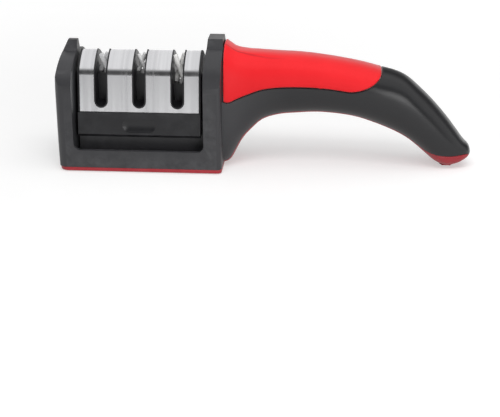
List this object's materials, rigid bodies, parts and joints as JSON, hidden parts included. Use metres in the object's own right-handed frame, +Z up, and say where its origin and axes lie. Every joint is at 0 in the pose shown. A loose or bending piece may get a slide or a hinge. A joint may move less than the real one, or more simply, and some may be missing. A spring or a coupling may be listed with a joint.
{
  "type": "knife sharpener",
  "caption": "Hand-held knife sharpener with a curved soft-grip handle and a lift-out cartridge of slots with crossed carbide, diamond and ceramic pieces.",
  "frame": {"origin": "the table under the middle of the cartridge, on the middle plane", "axes": "+X along the handle to its tip, +Y from the front to the rear across the base, +Z up"},
  "size_m": [0.2114, 0.048, 0.066],
  "materials": {
    "black_plastic": "fine satin moulding",
    "red_soft_grip": "matt soft-touch",
    "red_cover": "satin moulding",
    "pad_rubber": "matt",
    "steel_sheet": "brushed along its length",
    "carbide": "ground",
    "diamond_coat": "fine grit",
    "ceramic": "smooth matt ceramic",
    "screw_steel": "plated"
  },
  "bodies": {
    "base": {"body_shell": "black_plastic", "soft_grip": "red_soft_grip", "bottom_cover": "red_cover", "base_pad": "pad_rubber", "tip_pad": "pad_rubber", "cover_screws": "screw_steel"},
    "cartridge": {"cartridge_front_half": "black_plastic", "cartridge_rear_half": "black_plastic", "steel_cover": "steel_sheet", "carbide_bar_front": "carbide", "carbide_bar_rear": "carbide", "diamond_rod_front": "diamond_coat", "diamond_rod_rear": "diamond_coat", "ceramic_rod_front": "ceramic", "ceramic_rod_rear": "ceramic", "cartridge_screws": "screw_steel"}
  },
  "joints": [
    {"name": "cartridge_lift", "type": "slide", "parent": "base", "child": "cartridge", "axis": [0, 0, 1], "range_m": [0, 0.055]}
  ]
}
